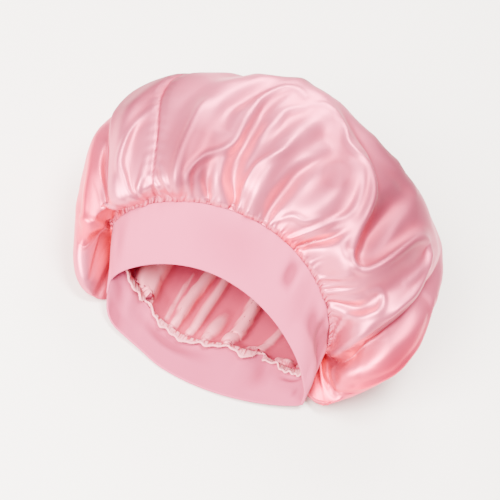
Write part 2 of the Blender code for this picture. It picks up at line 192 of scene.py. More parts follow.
# Narrow crests, where the satin bends sharply between two smooth parts.
CREASES = (
    Fold("left line", 6, 6, 0.8, (
        (152, .01, 1.5), (149, .1, 2.4), (149, .18, 2.8), (150, .24, 3), (152, .3, 3),
        (150, .38, 2.8), (146, .44, 2.2), (142, .47, 1))),
    Fold("far left line", 6, 6, 0.8, (
        (167, .00, 1.5), (160, .09, 2.4), (161, .17, 3), (163, .25, 3.2), (166, .31, 3),
        (167, .37, 2.2), (166, .43, 0.8))),
    Fold("fan line one", 4, 4, 0.6, (
        (150, .00, 1.5), (147, .08, 2), (145, .16, 2), (143, .22, 1.6), (142, .29, 0.5))),
    Fold("fan line two", 4, 4, 0.6, (
        (140, .00, 1.5), (139, .08, 2), (138, .14, 2), (139, .21, 1.4), (139, .26, 0.5))),
    Fold("fan line three", 4, 4, 0.6, (
        (135, .00, 1.5), (134, .08, 2), (134, .14, 2), (136, .22, 1.6), (139, .29, 0.5))),
    Fold("fan line four", 4, 4, 0.6, ((158, .00, 1.5), (156, .06, 2), (153, .12, 0.5))),
    Fold("front line", 7, 8, 0.6, (
        (132, .02, 1), (131, .1, 2.2), (130, .22, 2.8), (129, .31, 2.6), (127, .42, 1.8),
        (126, .5, 0.6))),
    Fold("notched ridge", 5, 7, 0.8, (
        (126, .01, 1.5), (126, .1, 2), (126, .18, 2.6), (122, .25, 3), (116, .28, 3),
        (113, .32, 2.6), (112, .4, 2.2), (111, .5, 2.2), (111, .58, 2.2), (108, .65, 2.2),
        (104, .67, 2), (100, .65, 1.2))),
    Fold("valley side", 6, 8, 0.6, (
        (103, .02, 1.5), (104, .1, 2.4), (104, .16, 2.6), (103, .23, 2.6), (100, .28, 2.4),
        (97, .33, 1.8), (95, .41, 0.6))),
    Fold("upper line", 8, 8, 0.5, ((106, .36, 0.8), (103, .46, 2), (102, .55, 2.2), (98, .6, 1.4))),
    Fold("lower right line", 6, 6, 0.6, (
        (77, .01, 1), (74, .07, 2), (72, .14, 2.4), (70, .22, 2.4), (68, .3, 2.2), (70, .4, 1.8),
        (73, .47, 0.6))),
    Fold("low line", 5, 6, 0.5, ((86, .05, 0.8), (82, .11, 1.6), (77, .13, 1.8), (74, .18, 0.8))),
    Fold("right edge line", 6, 6, 0.8, (
        (96, .63, 1), (92, .65, 1.6), (85, .62, 2.2), (81, .55, 2.8), (77, .52, 3), (72, .51, 3.2),
        (67, .44, 3.4), (63, .31, 3.4), (58, .22, 3.4), (54, .2, 3.4), (51, .23, 3.4),
        (50, .28, 3.4), (49, .37, 3.4), (47, .47, 3.4), (44, .54, 3.2), (40, .59, 3), (36, .6, 2.6),
        (33, .57, 2.2), (35, .5, 1.6), (37, .44, 0.6))),
    Fold("flap edge line", 5, 6, 0.8, (
        (33, .6, 2), (31, .55, 2.6), (32, .45, 2.8), (33, .35, 2.8), (31, .26, 2.8), (27, .17, 2.6),
        (20, .12, 2.4), (12, .08, 2.2), (3, .055, 2), (-2, .05, 1))),
    Fold("flap hook", 5, 6, 0.7, (
        (9, .01, 1), (16, .03, 1.8), (24, .055, 2), (32, .1, 2.2), (35, .2, 2.4), (36, .26, 2.4),
        (39, .29, 2.4), (42, .28, 2), (43, .24, 0.8))),
    Fold("cluster one", 4, 4, 0.5, ((51, .00, 1.6), (51, .06, 2), (51, .12, 1.6), (51, .18, 0.5))),
    Fold("cluster two", 4, 4, 0.5, ((46, .00, 1.6), (47, .06, 2), (48, .12, 1.6), (48, .19, 0.5))),
    Fold("cluster three", 4, 4, 0.5, (
        (42, .00, 1.6), (44, .07, 2), (45, .13, 1.6), (46, .22, 0.5))),
    Fold("coral rim", 6, 6, 0.7, (
        (28, .53, 0.6), (18, .57, 1.4), (11, .55, 2.2), (7, .48, 2.8), (7, .39, 3), (6, .29, 3),
        (4, .22, 2.8), (3, .16, 2.6), (0, .11, 2.2), (-1, .08, 1.2))),
    Fold("peach rim", 4, 5, 0.7, (
        (350, .04, 1), (348, .07, 2), (350, .09, 2.2), (356, .11, 2.2), (360, .15, 2),
        (359, .2, 1))),
    Fold("cheek line", 7, 8, 0.6, (
        (190, .33, 0.4), (180, .27, 1.8), (171, .21, 2.6), (169, .15, 2.8), (176, .09, 2.6),
        (189, .05, 2), (199, .03, 1.2))),
)

# The gathers' random spaces, heights, fading and wandering, and their sizes from small to
# large: the divisor of their number, height, the along where they fade, and roundness.
GATHER_SEED, GATHER_STRENGTH = 7, 0.62
GATHER_SPACES, GATHER_HEIGHTS = (0.55, 1.45), (0.45, 1.25)
GATHER_FADES, GATHER_WANDER = 0.45, 0.35
GATHER_SIZES = ((1, 1.2, 0.028, 0.9), (2, 0.8, 0.055, 0.8), (5, 0.5, 0.14, 0.8))

# Ripples of the loose satin as ((seed, wavelength in mm), share), and wrinkles at the back.
RIPPLES = (((3, 90.0), 1.0), ((5, 34.0), 0.25))
WRINKLE_WAVES, WRINKLE_SHARE, WRINKLE_REACH = (8, 64.0), 6.0, 0.42

# Where the seam runs flat against the band and the gathers are smaller: turn, reach, share.
CALM = ((208, 32, 0.05), (336, 40, 0.05))

# Inside, over the nape seam, the satin stands up from the surface in flat pleats.
INNER_PLEATS = (
    Fold("peach pleat", 24, 10, -1, (
        (234, .01, -4), (237, .08, -9), (241, .24, -13), (244, .40, -12), (246, .52, -4))),
    Fold("side strip", 4, 4, -1, ((255, .01, -2), (256, .08, -4), (257, .22, -4), (258, .34, -2))),
    Fold("wide pleat", 7, 7, -1, (
        (259, .01, -4), (260, .08, -9), (261, .22, -11), (263, .38, -10), (264, .50, -4))),
    Fold("thin pleat", 6, 5, -1, (
        (267, .01, -3), (268, .08, -7), (268, .22, -9), (268, .38, -7), (268, .48, -2))),
    Fold("low mound", 12, 11, 0.0, (
        (276, .01, -3), (275, .08, -6), (275, .15, -7), (275, .24, -2))),
    Fold("middle pleat", 9, 7, -1, (
        (286, .01, -4), (284, .08, -9), (282, .22, -12), (280, .38, -11), (279, .50, -4))),
    Fold("right pleat", 5, 5, -1, ((297, .01, -2), (296, .08, -4), (294, .20, -5), (293, .34, -3))),
    Fold("end pleat", 11, 9, -1, ((318, .01, -3), (315, .10, -7), (312, .22, -9), (310, .36, -4))),
)

# The seam between two panels of satin, as (turn, along, depth of its groove).
PANEL_SEAM = ((144, .00, -.5), (142, .07, -.8), (139, .18, -1), (139, .36, -1.1),
              (140, .48, -1.3), (144, .60, -1.4), (149, .78, -1.2), (152, .97, -.5))
# Only points within this reach of the turn are measured from it.
PANEL_SEAM_TURN, PANEL_SEAM_REACH, OUT_OF_REACH = 146, 24, 99.0
PUCKER_LENGTH, PUCKER_HEIGHT, STITCH_DEPTH, STITCH_REACH = 11.0, 0.25, 0.9, 2.0

# Where the satin is lit through and glows coral, by turn and along.
PaintedArea = namedtuple("PaintedArea", "name turn along turn_reach along_reach")
GLOWS = (
    PaintedArea("far left", 174, 0.26, 16, 0.42),
    PaintedArea("left cheek", 203, 0.03, 26, 0.13),
    PaintedArea("left lobe", 188, 0.36, 20, 0.26),
    PaintedArea("right lobe", 8, 0.34, 20, 0.34),
    PaintedArea("right lobe rim", 4, 0.24, 18, 0.26),
    PaintedArea("lowest right", 346, 0.10, 24, 0.26),
    PaintedArea("right gathers", 74, 0.02, 14, 0.09),
)

# Painted shade: areas where the satin turns away from the lights are painted darker.
SHADES = (
    PaintedArea("left top", 152, 0.60, 24, 0.26),
    PaintedArea("front left", 124, 0.26, 14, 0.22),
    PaintedArea("middle right", 79, 0.38, 10, 0.18),
    PaintedArea("front top", 112, 0.82, 46, 0.16),
    PaintedArea("back hollow", 56, 0.52, 24, 0.46),
    PaintedArea("back shoulder", 62, 0.78, 30, 0.26),
    PaintedArea("back", 90, 0.98, 90, 0.12),
    PaintedArea("under the flap", 26, 0.34, 9, 0.24),
)

# ---------------------------------------------------------------- the band and the allowance
# The band's soft waves as (seed, wavelength in mm) with their height, and its pull where it
# is sewn to the gathers.
BAND_WAVES, BAND_WAVE_HEIGHT, PULL_HEIGHT = (11, 60.0), 0.5, 0.28

# The allowance's sway and height go up and down as (waves around, start, share), and it is
# higher or lower at each (turn, reach, share added, steepness): two breaks at the nape, a
# high part and a corner.
SWAYS = ((26, 0.0, 0.6), (61, 1.3, 0.4), (11, 0.8, 0.7))
HEIGHT_WAVES = ((17, 0.6, 0.12), (43, 0.0, 0.08))
LIFTS = ((244, 4.5, -0.88, 2), (303, 4.5, -0.88, 2), (228, 22, 0.35, 1), (188, 26, -0.55, 1))
CALM_CORNER = (188, 26)  # the turn and reach where it sways least
NAPE_PART, NAPE_STEEPNESS = (262, 100), 1.6  # where it leans with NAPE_LEAN

# Loops of thread differ in size between these shares.
LOOP_SIZES, LOOP_SEED = (0.85, 1.12), 4

# Soft dents of the band, by turn and along, which is here the share of its width from the
# free edge. The depth in mm is below zero where the cloth stands out.
# Painted shade: each dent also darkens the band's colour, on its outer side where it is pressed in
# and on its inner side where it stands out.
Dent = namedtuple("Dent", "name turn along turn_reach along_reach depth")
DENTS = (
    Dent("right dimple", 67, 0.70, 6, 0.34, 3.4),
    Dent("right shade", 54, 0.60, 14, 0.6, 0.9),
    Dent("right valley top", 40, 0.60, 11, 0.34, 3.0),
    Dent("right valley", 28, 0.70, 11, 0.36, 7.0),
    Dent("right valley end", 17, 0.76, 11, 0.36, 7.0),
    Dent("far left end", 222, 0.12, 16, 0.45, -2.4),
    Dent("far left bulge", 232, 0.62, 12, 0.4, 2.2),
    Dent("right roll", 40, 0.18, 16, 0.34, -2.0),
    Dent("right roll end", 16, 0.22, 12, 0.34, -2.5),
    Dent("forehead hollow", 98, 0.5, 26, 0.6, 0.8),
    Dent("left fold", 168, 0.6, 10, 0.6, 1.2),
    Dent("nape crease left", 226, 0.55, 24, 0.28, -1.6),
    Dent("nape crease", 262, 0.62, 26, 0.24, -1.8),
    Dent("nape crease right", 331, 0.70, 13, 0.10, -1.7),
    Dent("nape crease low", 338, 0.36, 5, 0.20, -0.7),
    Dent("nape fold right", 309, 0.60, 9, 0.45, -1.3),
)

# ---------------------------------------------------------------- the studio
FLOOR_REACH = 6.0
LAMP_AIM = (0.0, 0.0, 0.06)
CAMERA_AIM, CAMERA_DISTANCE = (0.0021, -0.0479, 0.086), 1.5
CAMERA_RISE, CAMERA_ROLL = 45.0, 31.0
SENSOR_WIDTH = 36.0
SURROUND_COLOUR = (1.0, 0.98, 0.96)
# The lamps: where they hang in metres, their side, their share of the power and their colour.
Lamp = namedtuple("Lamp", "name place side share colour")
LAMPS = (
    Lamp("front softbox", (-0.75, -1.50, 1.40), 1.20, 1.0, (1.0, 0.985, 0.97)),
    Lamp("overhead softbox", (0.10, 0.10, 2.20), 0.90, 0.50, (1.0, 0.985, 0.97)),
    Lamp("back softbox", (-0.45, 1.50, 1.35), 0.80, 0.28, (1.0, 0.98, 0.98)),
)


# ---------------------------------------------------------------- settings
def number(name, description, default, low, high, **kind):
    return FloatProperty(name=name, description=description, default=default,
                         min=low, max=high, **kind)


def length(*given):
    return number(*given, unit="LENGTH")


def factor(*given):
    return number(*given, subtype="FACTOR")


def colour(name, description, default):
    return FloatVectorProperty(name=name, description=description, default=default,
                               size=3, subtype="COLOR")


class BonnetSatin(bpy.types.PropertyGroup):
    """Sizes and finish of the satin crown"""

    wall: length("Satin thickness", "Thickness of the satin", 0.0009, 0.0004, 0.002)
    gathers: IntProperty(name="Gathers", description="Small gathers around the seam",
                         default=110, min=20, max=160)
    gather_height: length("Gather height", "Height of a small gather", 0.0030, 0.0, 0.006)
    slack: length("Slack", "Height of the loose ripples", 0.0010, 0.0, 0.005)
    colour: colour("Satin colour", "Colour on the rolls", (0.70, 0.13, 0.23))
    # Painted shade: this colour darkens the satin in its valleys and gathers, and between the
    # pleats inside.
    fold_shade_colour: colour("Shade painted in the folds", "Painted shade in valleys, gathers and between the inner pleats",
                        (0.60, 0.055, 0.12))
    glow_colour: colour("Coral glow", "Colour where light passes through", (0.86, 0.032, 0.115))
    # Painted shade in the pinches of the gathers at the seam; the same colour also marks the panel
    # seam's dark stitch line.
    pinch_shade_and_seam_colour: colour("Pinch shade and seam colour", "Painted shade in the gathers' pinches, and the panel seam's dark stitch line", (0.27, 0.015, 0.046))
    # Painted shade: the colour of the areas that turn away from the lights.
    shade_colour: colour("Shaded colour", "Painted shade where the satin turns away from the lights",
                         (0.34, 0.052, 0.098))
    lining_colour: colour("Inner colour", "Colour inside", (0.98, 0.25, 0.33))
    metallic: factor("Sheen strength", "How metallic the gloss is", 0.80, 0.0, 1.0)
    roughness: factor("Gloss width", "Roughness of the satin", 0.41, 0.05, 1.0)


class BonnetKnit(bpy.types.PropertyGroup):
    """Sizes and finish of the knit band"""

    wall: length("Band thickness", "Thickness of the folded knit", 0.0026, 0.001, 0.004)
    rib_pitch: length("Rib pitch", "Distance between the knit's ribs", 0.0011, 0.0005, 0.004)
    colour: colour("Knit colour", "Colour of the knit", (0.57, 0.082, 0.18))


class BonnetSeam(bpy.types.PropertyGroup):
    """Sizes and finish of the overlocked seam allowance"""

    height: length("Allowance height", "Height of the standing edge", 0.0088, 0.003, 0.012)
    wave: length("Edge wave", "Sway of the wavy edge", 0.0026, 0.0, 0.004)
    stitches: IntProperty(name="Stitches", description="Overlock stitches around the edge",
                          default=230, min=50, max=500)
    thread: length("Thread radius", "Radius of the overlock thread", 0.00036, 0.0001, 0.001)
    colour: colour("Thread colour", "Colour of the edge", (0.92, 0.29, 0.36))


class BonnetStage(bpy.types.PropertyGroup):
    """Floor, light and camera"""

    floor_colour: colour("Floor colour", "Plain pale floor", (0.93, 0.872, 0.815))
    key: number("Key light", "Power of the main light in watts", 230.0, 0.0, 900.0)
    fill: number("Surround light", "Strength of the even light", 1.0, 0.0, 20.0)
    lens: number("Lens", "Focal length in millimetres", 113.4, 20.0, 300.0)


# ---------------------------------------------------------------- node helpers
class Value:
    """A number in a shader, written with + - * / in plain expressions."""

    def __init__(self, nodes, socket):
        self.nodes = nodes
        self.socket = socket

    def _math(self, operation, *values):
        return self.nodes.make("ShaderNodeMath", dict(enumerate(values)), operation=operation)

    def __add__(self, other):
        return self._math("ADD", self, other)

    def __sub__(self, other):
        return self._math("SUBTRACT", self, other)

    def __rsub__(self, other):
        return self._math("SUBTRACT", other, self)

    def __mul__(self, other):
        return self._math("MULTIPLY", self, other)

    def __truediv__(self, other):
        return self._math("DIVIDE", self, other)

    __radd__ = __add__
    __rmul__ = __mul__

    def clamped(self):
        return self.nodes.make("ShaderNodeClamp", {0: self, 1: 0.0, 2: 1.0})


class Nodes:
    """Makes nodes in one tree, of a shader or of geometry."""

    def __init__(self, tree):
        self.tree = tree

    def make(self, kind, values=None, output=0, **settings):
        """A node's output. Its settings come first, then its values or links by socket."""
        node = self.tree.nodes.new(kind)
        for name, setting in settings.items():
            setattr(node, name, setting)
        for name, value in (values or {}).items():
            self.feed(node.inputs[name], value)
        return Value(self, node.outputs[output])

    def feed(self, socket, value):
        """Link a value to a socket, or set the socket's own number, name or colour."""
        if isinstance(value, Value):
            value = value.socket
        if isinstance(value, bpy.types.NodeSocket):
            self.tree.links.new(value, socket)
            return
        if socket.type == "RGBA" and len(value) == 3:
            value = (*value, 1.0)
        socket.default_value = value

    def mix(self, share, one, other):
        """One colour turning into the other."""
        return self.make("ShaderNodeMix", {0: share, 6: one, 7: other}, output=2,
                         data_type="RGBA", clamp_factor=True)

    def attribute(self, name):
        """A number that is kept on the mesh's points."""
        return self.make("ShaderNodeAttribute", output="Fac", attribute_name=name)

    def cloth(self, around=1.0, across=1.0):
        """The cloth's own coordinates, repeated around the opening and across it."""
        uv = self.make("ShaderNodeUVMap", uv_map=UV_NAME)
        return self.make("ShaderNodeMapping", {"Vector": uv, "Scale": (around, across, 1.0)})

    def waves(self, direction, around, across, distortion, detail):
        """Stripes on the cloth, from 0 to 1."""
        values = {"Vector": self.cloth(around, across), "Scale": 1.0,
                  "Distortion": distortion, "Detail": detail}
        return self.make("ShaderNodeTexWave", values, output="Fac", bands_direction=direction)

    def noise(self, scale, detail, where=None):
        """A cloudy number, on the object's coordinates unless others are given."""
        if where is None:
            where = self.make("ShaderNodeTexCoord", output="Object")
        return self.make("ShaderNodeTexNoise", {"Vector": where, "Scale": scale, "Detail": detail})

    def relief(self, shader, layers):
        """Bump the shader's surface with layers of (strength, distance, height)."""
        below = {}
        for strength, distance, height in layers:
            below["Normal"] = self.make("ShaderNodeBump", {
                "Strength": strength, "Distance": distance, "Height": height, **below})
        self.feed(shader.inputs["Normal"], below["Normal"])


def new_material(name, constants):
    """A material with its constants set straight on its shader, and its nodes."""
    material = bpy.data.materials.new(name)
    material.use_nodes = True
    nodes = Nodes(material.node_tree)
    shader = material.node_tree.nodes["Principled BSDF"]
    for socket, value in constants.items():
        nodes.feed(shader.inputs[socket], value)
    return material, nodes, shader


def deeper(colour_given, shares):
    """A colour with its red, green and blue each multiplied by a share."""
    return tuple(c * s for c, s in zip(colour_given, shares))


# ---------------------------------------------------------------- shape functions
def bump(distance):
    """A smooth hill, 1 at distance 0 and 0 from distance 1 on."""
    near = np.clip(np.abs(distance), 0.0, 1.0)
    return np.cos(near * math.pi / 2) ** 2


def crest(distance):
    """A narrow hill with a slightly round tip, 1 at distance 0 and 0 at distance 1."""
    return np.maximum(1.0 - np.sqrt(distance**2 + 0.012) / 1.006, 0.0) ** 1.4 / 0.85


def plateau(distance):
    """A hill with round sides and a flat top."""
    return np.minimum(bump(distance) * 2.4, 1.0)


def turn_distance(turns, centre):
    """The signed angle from centre to each turn, in degrees, the short way round."""
    return (np.degrees(turns) - centre + 180.0) % 360.0 - 180.0


def near_turn(turns, centre, reach):
    """A smooth hill around a turn, as high as 1."""
    return bump(turn_distance(turns, centre) / reach)


def near_place(place, turns, alongs):
    """A smooth hill around a puff, a glow or a dent, as high as 1."""
    lengthways = bump((alongs - place.along) / place.along_reach)[:, None]
    return lengthways * near_turn(turns, place.turn, place.turn_reach)


def section(ring, turns, lens_upper=1.0, lens_lower=1.0):
    """Points of a loop through the ring's outermost points, one for each turn."""
    across = np.cos(turns)
    height = np.sin(turns)
    top, left, bottom, right = (np.array(p, float) for p in ring[2:])
    side = np.where(across[:, None] >= 0, right, left)
    pole = np.where(height[:, None] >= 0, top, bottom)
    lens = np.where(height >= 0, lens_upper, lens_lower)
    sideways = np.abs(across)[:, None]
    upright = (np.abs(height) ** lens)[:, None]
    x = pole[:, :1] + (side[:, :1] - pole[:, :1]) * sideways
    y = pole[:, 1:2] + (side[:, 1:2] - pole[:, 1:2]) * sideways ** 2
    z = side[:, 2:] + (pole[:, 2:] - side[:, 2:]) * upright
    return np.hstack([x, y, z])


def shifted(loop, turns, shifts):
    """The loop with each shift's push added, most at its middle."""
    for shift in shifts:
        strength = near_turn(turns, shift.turn, shift.reach)
        loop = loop + strength[:, None] * np.array(shift.push, float)
    return loop


def seam_loop(turns):
    return shifted(section(SEAM, turns), turns, SEAM_SHIFTS)


def free_loop(turns):
    return shifted(section(FREE_EDGE, turns, LENS_UPPER, LENS_LOWER), turns, FREE_SHIFTS)


def band_middle(turns, shares):
    """The middle of the band's cloth, from the free edge (0) to the seam (1)."""
    seam = seam_loop(turns)
    free = free_loop(turns)
    return np.array([free + (seam - free) * share for share in shares])


def unit(vectors):
    """The vectors with length 1."""
    return vectors / np.maximum(np.linalg.norm(vectors, axis=-1, keepdims=True), 1e-9)


def outward_of(grid):
    """A unit vector out of the surface at each point of a grid closed around its columns."""
    around = np.roll(grid, -1, axis=1) - np.roll(grid, 1, axis=1)
    return unit(np.cross(np.gradient(grid, axis=0), around))


def collar_loop(turns):
    """Where the crown, a little past the seam, still runs on in line with the band."""
    band = band_middle(turns, (0.0, 1.0))
    onward = unit(band[1] - band[0]) * COLLAR_LENGTH
    return band[1] + onward + outward_of(band)[1] * COLLAR_RISE


def crown_base(turns, alongs):
    """The smooth crown: a curve through the rings and the apex, as rows by columns by xyz."""
    loops = [seam_loop(turns), collar_loop(turns)]
    loops += [section(ring, turns) for ring in CROWN_RINGS]
    places = [0.0, COLLAR_ALONG] + [ring.along for ring in CROWN_RINGS]
    apex = np.broadcast_to(np.array(APEX, float), loops[0].shape)
    beyond = section(CROWN_RINGS[-1], turns + math.pi)
    before = 2 * loops[0] - loops[1]
    knots = np.array([before] + loops + [apex, beyond])
    places = np.array([-places[1]] + places + [1.0, 2.0 - places[-1]])
    slopes = (knots[2:] - knots[:-2]) / (places[2:] - places[:-2])[:, None, None]
    rows = []
    for along in alongs:
        k = int(np.clip(np.searchsorted(places, along, side="right") - 1, 1, len(places) - 3))
        span = places[k + 1] - places[k]
        w = (along - places[k]) / span
        rows.append((2 * w**3 - 3 * w**2 + 1) * knots[k]
                    + (w**3 - 2 * w**2 + w) * span * slopes[k - 1]
                    + (3 * w**2 - 2 * w**3) * knots[k + 1]
                    + (w**3 - w**2) * span * slopes[k])
    return np.array(rows)


def add_puffs(grid, turns, alongs):
    """Move the surface by each puff's push, most at its middle."""
    for puff in PUFFS:
        strength = near_place(puff, turns, alongs)
        grid = grid + strength[:, :, None] * np.array(puff.push, float)
    return grid


def smooth_path(points, count):
    """A Catmull-Rom curve through the points, as count samples."""
    points = np.array(points, float)
    ends = np.vstack([2 * points[0] - points[1], points, 2 * points[-1] - points[-2]])
    samples = []
    for t in np.linspace(0, len(points) - 1, count):
        k = min(int(t), len(points) - 2)
        w = t - k
        a, b, c, d = ends[k:k + 4]
        samples.append(0.5 * (2 * b + (c - a) * w + (2 * a - 5 * b + 4 * c - d) * w**2
                              + (3 * b - a - 3 * c + d) * w**3))
    return np.array(samples)


def on_grid(grid, turns, alongs, turn, along):
    """The grid's point at a turn in degrees and an along."""
    column = (turn % 360.0) / 360.0 * len(turns)
    i = int(column) % len(turns)
    share = column - int(column)
    row = float(np.interp(along, alongs, np.arange(len(alongs))))
    k = min(int(row), len(alongs) - 2)
    rise = row - k
    lower = grid[k, i] * (1 - share) + grid[k, (i + 1) % len(turns)] * share
    upper = grid[k + 1, i] * (1 - share) + grid[k + 1, (i + 1) % len(turns)] * share
    return lower * (1 - rise) + upper * rise


def path_on_grid(grid, turns, alongs, path):
    """The grid's points along a path of (turn, along, height)."""
    return np.array([on_grid(grid, turns, alongs, turn, along) for turn, along, _ in path])


def run_along(line):
    """How far each point of a line is from its start."""
    return np.concatenate([[0.0], np.cumsum(np.linalg.norm(np.diff(line, axis=0), axis=1))])


def fold_rise(grid, outward, turns, alongs, fold, narrow=0.35):
    """How far one fold lifts each point of the grid, in mm."""
    path = smooth_path(fold.path, PATH_SAMPLES)
    line = path_on_grid(grid, turns, alongs, path)
    tangent = unit(np.gradient(line, axis=0))
    reach = max(fold.left, fold.right)
    near = np.all((grid > line.min(axis=0) - reach) & (grid < line.max(axis=0) + reach), axis=2)
    rise = np.zeros(grid.shape[:2])
    points = grid[near]
    if not len(points):
        return rise
    apart = points[:, None, :] - line[None, :, :]
    closest = np.argmin((apart**2).sum(axis=2), axis=1)
    delta = apart[np.arange(len(points)), closest]
    onward = (delta * tangent[closest]).sum(axis=1)
    step = np.linalg.norm(np.diff(line, axis=0), axis=1).max() / 2
    delta = delta - np.clip(onward, -step, step)[:, None] * tangent[closest]
    distance = np.linalg.norm(delta, axis=1)
    leftward = np.cross(outward[near], tangent[closest])
    side = np.clip((leftward * delta).sum(axis=1) / np.maximum(distance, 1e-6), -1, 1)
    narrowing = narrow + (1 - narrow) * np.clip(path[closest, 1] / FULL_WIDTH, 0.0, 1.0)
    half = (fold.right + (fold.left - fold.right) * (0.5 + 0.5 * side)) * narrowing
    share = np.clip(distance / half, 0.0, 1.0)
    round_part = plateau(share) if fold.crisp < 0 else bump(share)
    crisp = max(fold.crisp, 0.0)
    rise[near] = path[closest, 2] * (round_part * (1 - crisp) + crest(share) * crisp)
    return rise


def add_folds(grid, turns, alongs, folds, softening, narrow=0.35):
    """Raise every fold of a table from the surface."""
    outward = outward_of(grid)
    total = np.zeros(grid.shape[:2])
    for fold in folds:
        total += fold_rise(grid, outward, turns, alongs, fold, narrow)
    return grid + blurred(total[:, :, None], softening) * outward


def gather_cells(turns, count, rng):
    """A running number for each turn, whole at each pinch between two gathers."""
    spaces = rng.uniform(*GATHER_SPACES, count)
    pinches = np.concatenate([[0.0], np.cumsum(spaces)]) / spaces.sum() * 2 * math.pi
    return np.interp(turns, pinches, np.arange(count + 1))


def add_gathers(grid, turns, alongs, count, height):
    """Gathers in three sizes: the small ones fade first and leave the larger folds."""
    rng = np.random.default_rng(GATHER_SEED)
    outward = outward_of(grid)
    rise = np.zeros(grid.shape[:2])
    calm = np.ones(len(turns))
    for centre, reach, share in CALM:
        calm = calm * (1 - (1 - share) * near_turn(turns, centre, reach))
    start = 0.35 + 0.65 * np.minimum(alongs / 0.02, 1.0)[:, None]
    for divisor, scale, fade, roundness in GATHER_SIZES:
        gathers = count // divisor
        cell = gather_cells(turns, gathers, rng)
        heights, fades, wanders = (
            np.interp(cell, np.arange(gathers) + 0.5, own, period=gathers)
            for own in (rng.uniform(*GATHER_HEIGHTS, gathers),
                        fade * rng.lognormal(0.0, GATHER_FADES, gathers),
                        rng.uniform(-GATHER_WANDER, GATHER_WANDER, gathers)))
        moved = cell[None, :] + wanders[None, :] * np.minimum(alongs / fade, 2.0)[:, None]
        profile = np.abs(np.sin(math.pi * moved)) ** roundness - 0.55
        strength = np.exp(-(alongs[:, None] / fades[None, :]) ** 1.2)
        rise += scale * (heights * calm)[None, :] * profile * strength * start
    return grid + (height * GATHER_STRENGTH * rise)[:, :, None] * outward


def ripples(grid, seed, wavelength, count=18):
    """A smooth random number between about -1 and 1 at each point, from sine waves."""
    rng = np.random.default_rng(seed)
    total = np.zeros(grid.shape[:-1])
    for _ in range(count):
        way = unit(rng.normal(size=3))
        wave = 2 * math.pi / (wavelength * rng.uniform(0.7, 1.6))
        total += np.sin(grid @ way * wave + rng.uniform(0, 2 * math.pi))
    return total / math.sqrt(count / 2) / 1.6


def add_slack(grid, alongs, height):
    """Loose ripples everywhere but at the seam, and small wrinkles at the back."""
    calm = np.minimum(alongs / 0.08, 1.0)[:, None]
    slack = sum(share * ripples(grid, *waves) for waves, share in RIPPLES)
    behind = 1.0 - alongs
    rear = (bump(behind / WRINKLE_REACH) * np.minimum(behind / 0.06, 1.0))[:, None]
    wrinkles = blurred((0.5 - np.abs(ripples(grid, *WRINKLE_WAVES)))[:, :, None], 3)[:, :, 0]
    slack = (slack + WRINKLE_SHARE * rear * wrinkles) * calm
    return grid + (height * slack)[:, :, None] * outward_of(grid)


def panel_seam_distance(grid, turns, alongs):
    """How far each point is from the seam between two panels, and how far along it."""
    line = path_on_grid(grid, turns, alongs, smooth_path(PANEL_SEAM, SEAM_SAMPLES))
    distance = np.full(grid.shape[:2], OUT_OF_REACH)
    onward = np.zeros(grid.shape[:2])
    near = np.abs(turn_distance(turns, PANEL_SEAM_TURN)) < PANEL_SEAM_REACH
    apart = np.linalg.norm(grid[:, near, None, :] - line, axis=3)
    distance[:, near] = apart.min(axis=2)
    onward[:, near] = run_along(line)[np.argmin(apart, axis=2)]
    return distance, onward


def add_panel_seam(grid, turns, alongs):
    """The seam between two panels: a groove with small puckers across it."""
    outward = outward_of(grid)
    stitch_line = tuple((turn, along, -STITCH_DEPTH) for turn, along, _ in PANEL_SEAM)
    distance, onward = panel_seam_distance(grid, turns, alongs)
    pucker = np.sin(onward * 2 * math.pi / PUCKER_LENGTH + distance * 0.25)
    rise = PUCKER_HEIGHT * pucker * bump((distance - 5.0) / 9.0)
    for fold in (Fold("panel seam", 8, 9, 0.5, PANEL_SEAM),
                 Fold("stitch line", 2.4, 2.4, 0.0, stitch_line)):
        rise += fold_rise(grid, outward, turns, alongs, fold)
    return grid + rise[:, :, None] * outward


def rest_on_surface(grid):
    """Press the cloth flat on the surface, with a short round turn at its edge."""
    grid = grid.copy()
    above = grid[:, :, 2] / REST_SOFTNESS
    rounded = np.where(above > 20, above, np.log1p(np.exp(np.minimum(above, 20))))
    rounded = rounded - math.log(2) * np.exp(-np.abs(above))
    grid[:, :, 2] = np.maximum(REST_SOFTNESS * rounded, 0.0)
    return grid


def crown_surface(turns, alongs, satin):
    """The crown's outer surface with all its folds, and where the inner pleats stand."""
    grid = crown_base(turns, alongs)
    grid = grid + outward_of(grid) * SOLID_SATIN_WALL / 2
    grid = add_puffs(grid, turns, alongs)
    grid = add_folds(grid, turns, alongs, FOLDS, softening=4)
    grid = add_folds(grid, turns, alongs, CREASES, softening=1)
    grid = add_gathers(grid, turns, alongs, satin.gathers, satin.gather_height / MM)
    grid = add_slack(grid, alongs, satin.slack / MM)
    grid = add_panel_seam(grid, turns, alongs)
    flat = rest_on_surface(grid)
    grid = add_folds(flat, turns, alongs, INNER_PLEATS, softening=2, narrow=0.7)
    grid[:, :, 2] = np.maximum(grid[:, :, 2], 0.0)
    stands = np.linalg.norm(grid - flat, axis=2)
    return grid, np.clip(stands / PLEAT_HEIGHT - 0.15, 0.0, 1.0)


def blurred(grid, steps):
    """The grid averaged over its neighbours a number of times."""
    for _ in range(steps):
        sides = (np.roll(grid, 1, axis=1) + np.roll(grid, -1, axis=1)) / 2
        padded = np.concatenate([grid[:1], grid, grid[-1:]])
        ends = (padded[:-2] + padded[2:]) / 2
        grid = grid * 0.4 + sides * 0.3 + ends * 0.3
    return grid


def valley_depth(grid, steps, scale):
    """From 0 on the rolls to 1 at the bottom of a fold, at a scale in mm."""
    depth = ((blurred(grid, steps) - grid) * outward_of(grid)).sum(axis=2)
    return np.clip(depth / scale * 0.5 + 0.25, 0.0, 1.0)


